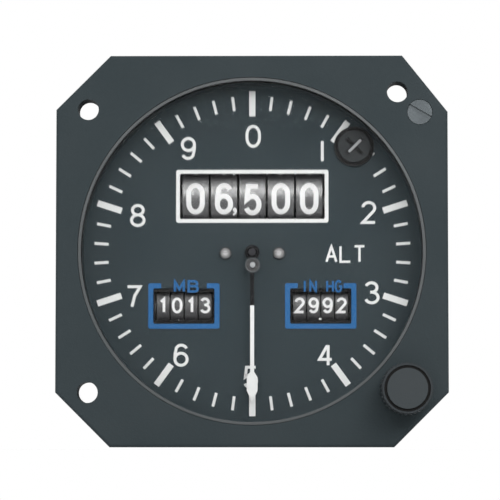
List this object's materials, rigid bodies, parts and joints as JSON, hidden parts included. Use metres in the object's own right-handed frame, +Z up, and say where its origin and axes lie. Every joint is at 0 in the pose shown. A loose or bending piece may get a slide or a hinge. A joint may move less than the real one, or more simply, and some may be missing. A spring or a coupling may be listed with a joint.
{
  "type": "altimeter",
  "caption": "Panel-mounted barometric altimeter with a pointer, a drum altitude counter and two barometric counters set by one knob.",
  "frame": {"origin": "on the dial's axis at the flange's rear face, where it meets the instrument panel", "axes": "+Z up the dial, towards 0 and the altitude counter; +X to the right of the dial; the dial faces -Y, and +Y runs back through the case"},
  "size_m": [0.0828, 0.151, 0.0828],
  "materials": {
    "bezel_paint": "matte instrument grey paint",
    "ring_paint": "satin grey paint",
    "case_paint": "matte black paint",
    "glass": "clear coated instrument glass",
    "rubber": "black seal rubber",
    "dial_paint": "matte dial paint",
    "white_paint": "matte white print",
    "blue_paint": "matte blue print",
    "pointer_paint": "matte white and black paint",
    "drum_metal": "satin drum with printed figures",
    "baro_drum": "matte black drum with printed figures",
    "black_screw": "black oxide",
    "knob_plastic": "moulded grey plastic",
    "steel": "turned steel",
    "bright_screw": "bright screw",
    "grey_screw": "grey oxide",
    "brass": "lapped brass",
    "plate_metal": "machined aluminium",
    "capsule_metal": "beryllium copper",
    "connector_metal": "olive plated aluminium",
    "insert_plastic": "dark moulded insert"
  },
  "bodies": {
    "case": {"altitude_bracket": "plate_metal", "baro_brackets": "plate_metal", "baro_window_frames": "blue_paint", "bezel": "bezel_paint", "bezel_collar": "bezel_paint", "case_screws": "steel", "case_seal": "rubber", "case_shell": "case_paint", "connector_insert": "insert_plastic", "connector_shell": "connector_metal", "corner_screw": "grey_screw", "dial_marks": "white_paint", "dial_plate": "dial_paint", "dial_screws": "bright_screw", "front_plate": "plate_metal", "front_posts": "plate_metal", "glass": "glass", "glass_gasket": "rubber", "glass_ring": "ring_paint", "glass_spacer": "bezel_paint", "idler_studs": "steel", "knob_bush": "brass", "left_capsules": "capsule_metal", "mid_plate": "plate_metal", "pillars": "plate_metal", "plate_screws": "steel", "pocket_plug": "steel", "pointer_bridge": "plate_metal", "rear_plate": "plate_metal", "right_capsules": "capsule_metal", "rim_screw": "black_screw", "zero_drums": "drum_metal"},
    "pointer": {"pointer_needle": "pointer_paint", "pointer_arbor": "steel"},
    "drive": {"drive_arbor": "brass"},
    "counter_idler": {"counter_idler": "brass"},
    "counter_layshaft": {"counter_layshaft": "brass"},
    "hundreds": {"altitude_axle": "steel", "hundreds_drum": "drum_metal"},
    "thousands": {"thousands_drum": "drum_metal"},
    "ten_thousands": {"ten_thousands_drum": "drum_metal"},
    "third": {"third_arbor": "brass"},
    "second": {"second_arbor": "brass"},
    "rocking": {"rocking_shaft": "steel", "sector_gear": "brass"},
    "left_link": {"left_link": "steel"},
    "right_link": {"right_link": "steel"},
    "knob": {"baro_knob": "knob_plastic", "knob_shaft": "steel"},
    "baro_idler": {"baro_idler": "brass"},
    "baro_layshaft": {"baro_layshaft": "brass"},
    "hundredths": {"hundredths_drum": "baro_drum"},
    "tenths": {"tenths_drum": "baro_drum"},
    "inches": {"inches_drum": "baro_drum"},
    "ten_inches": {"ten_inches_drum": "baro_drum"},
    "cross": {"cross_layshaft": "brass"},
    "millibars": {"millibars_drum": "baro_drum"},
    "ten_millibars": {"ten_millibars_drum": "baro_drum"},
    "hundred_millibars": {"hundred_millibars_drum": "baro_drum"},
    "thousand_millibars": {"thousand_millibars_drum": "baro_drum"}
  },
  "joints": [
    {"name": "pointer_turn", "type": "hinge", "parent": "case", "child": "pointer", "pos_m": [0, 0, 0], "axis": [0, 1, 0], "range_deg": [-2700, 15660]},
    {"name": "drive_turn", "type": "hinge", "parent": "case", "child": "drive", "pos_m": [0, 0, -0.008], "axis": [0, 1, 0], "range_deg": [-15696.72, 2736.72]},
    {"name": "counter_idler_turn", "type": "hinge", "parent": "case", "child": "counter_idler", "pos_m": [0.01026, 0, 0.0021], "axis": [0, 1, 0], "range_deg": [-2736.72, 15696.72]},
    {"name": "counter_layshaft_turn", "type": "hinge", "parent": "case", "child": "counter_layshaft", "pos_m": [0.02053, 0, 0.0122], "axis": [0, 1, 0], "range_deg": [-15696.72, 2736.72]},
    {"name": "hundreds_turn", "type": "hinge", "parent": "case", "child": "hundreds", "pos_m": [0, 0.0175, 0.0122], "axis": [1, 0, 0], "range_deg": [-15696.72, 2736.72]},
    {"name": "thousands_turn", "type": "hinge", "parent": "case", "child": "thousands", "pos_m": [0, 0.0175, 0.0122], "axis": [1, 0, 0], "range_deg": [-1569.67, 273.67]},
    {"name": "ten_thousands_turn", "type": "hinge", "parent": "case", "child": "ten_thousands", "pos_m": [0, 0.0175, 0.0122], "axis": [1, 0, 0], "range_deg": [-156.97, 27.37]},
    {"name": "third_turn", "type": "hinge", "parent": "case", "child": "third", "pos_m": [-0.00917, 0, -0.01442], "axis": [0, 1, 0], "range_deg": [-456.12, 2616.12]},
    {"name": "second_turn", "type": "hinge", "parent": "case", "child": "second", "pos_m": [-0.0207, 0, -0.01573], "axis": [0, 1, 0], "range_deg": [-418.58, 72.98]},
    {"name": "rocking_turn", "type": "hinge", "parent": "case", "child": "rocking", "pos_m": [0, 0, 0], "axis": [0, 1, 0], "range_deg": [-6.08, 34.88]},
    {"name": "knob_turn", "type": "hinge", "parent": "case", "child": "knob", "pos_m": [0.0322, 0, -0.0293], "axis": [0, 1, 0], "range_deg": [-5241.6, 3110.4]},
    {"name": "baro_idler_turn", "type": "hinge", "parent": "case", "child": "baro_idler", "pos_m": [0.02618, 0, -0.0207], "axis": [0, 1, 0], "range_deg": [-2842.82, 4780.28]},
    {"name": "baro_layshaft_turn", "type": "hinge", "parent": "case", "child": "baro_layshaft", "pos_m": [0.02756, 0, -0.0113], "axis": [0, 1, 0], "range_deg": [-6572.88, 3908.88]},
    {"name": "hundredths_turn", "type": "hinge", "parent": "case", "child": "hundredths", "pos_m": [0, 0.0115, -0.0113], "axis": [1, 0, 0], "range_deg": [-3908.88, 6572.88]},
    {"name": "tenths_turn", "type": "hinge", "parent": "case", "child": "tenths", "pos_m": [0, 0.0115, -0.0113], "axis": [1, 0, 0], "range_deg": [-390.89, 657.29]},
    {"name": "inches_turn", "type": "hinge", "parent": "case", "child": "inches", "pos_m": [0, 0.0115, -0.0113], "axis": [1, 0, 0], "range_deg": [-39.09, 65.73]},
    {"name": "ten_inches_turn", "type": "hinge", "parent": "case", "child": "ten_inches", "pos_m": [0, 0.0115, -0.0113], "axis": [1, 0, 0], "range_deg": [-3.91, 6.57]},
    {"name": "cross_turn", "type": "hinge", "parent": "case", "child": "cross", "pos_m": [0, 0.02096, -0.0113], "axis": [1, 0, 0], "range_deg": [-3895.04, 2316.37]},
    {"name": "millibars_turn", "type": "hinge", "parent": "case", "child": "millibars", "pos_m": [0, 0.0115, -0.0113], "axis": [1, 0, 0], "range_deg": [-1323.64, 2225.74]},
    {"name": "ten_millibars_turn", "type": "hinge", "parent": "case", "child": "ten_millibars", "pos_m": [0, 0.0115, -0.0113], "axis": [1, 0, 0], "range_deg": [-132.36, 222.57]},
    {"name": "hundred_millibars_turn", "type": "hinge", "parent": "case", "child": "hundred_millibars", "pos_m": [0, 0.0115, -0.0113], "axis": [1, 0, 0], "range_deg": [-13.24, 22.26]},
    {"name": "thousand_millibars_turn", "type": "hinge", "parent": "case", "child": "thousand_millibars", "pos_m": [0, 0.0115, -0.0113], "axis": [1, 0, 0], "range_deg": [-1.32, 2.23]},
    {"name": "left_link_slide", "type": "slide", "parent": "case", "child": "left_link", "axis": [1, 0, 0], "range_m": [-0.00055, 0.00318], "deforming": ["left_capsules"]},
    {"name": "right_link_slide", "type": "slide", "parent": "case", "child": "right_link", "axis": [1, 0, 0], "range_m": [-0.00318, 0.00055], "deforming": ["right_capsules"]}
  ],
  "couplings": [
    {"joint": "drive_turn", "follows": "pointer_turn", "ratio": -1},
    {"joint": "counter_idler_turn", "follows": "pointer_turn", "ratio": 1},
    {"joint": "counter_layshaft_turn", "follows": "pointer_turn", "ratio": -1},
    {"joint": "hundreds_turn", "follows": "pointer_turn", "ratio": -1},
    {"joint": "thousands_turn", "follows": "pointer_turn", "ratio": -0.1},
    {"joint": "ten_thousands_turn", "follows": "pointer_turn", "ratio": -0.01},
    {"joint": "third_turn", "follows": "pointer_turn", "ratio": 0.16667},
    {"joint": "second_turn", "follows": "pointer_turn", "ratio": -0.026667},
    {"joint": "rocking_turn", "follows": "pointer_turn", "ratio": 0.0022222},
    {"joint": "baro_idler_turn", "follows": "knob_turn", "ratio": -0.90909},
    {"joint": "baro_layshaft_turn", "follows": "knob_turn", "ratio": 1.25},
    {"joint": "hundredths_turn", "follows": "knob_turn", "ratio": -1.25},
    {"joint": "tenths_turn", "follows": "knob_turn", "ratio": -0.125},
    {"joint": "inches_turn", "follows": "knob_turn", "ratio": -0.0125},
    {"joint": "ten_inches_turn", "follows": "knob_turn", "ratio": -0.00125},
    {"joint": "cross_turn", "follows": "knob_turn", "ratio": 0.74074},
    {"joint": "millibars_turn", "follows": "knob_turn", "ratio": -0.42328},
    {"joint": "ten_millibars_turn", "follows": "knob_turn", "ratio": -0.042328},
    {"joint": "hundred_millibars_turn", "follows": "knob_turn", "ratio": -0.0042328},
    {"joint": "thousand_millibars_turn", "follows": "knob_turn", "ratio": -0.00042328},
    {"joint": "left_link_slide", "follows": "pointer_turn", "m_per_rad": 0.000011606},
    {"joint": "right_link_slide", "follows": "pointer_turn", "m_per_rad": -0.000011606}
  ]
}
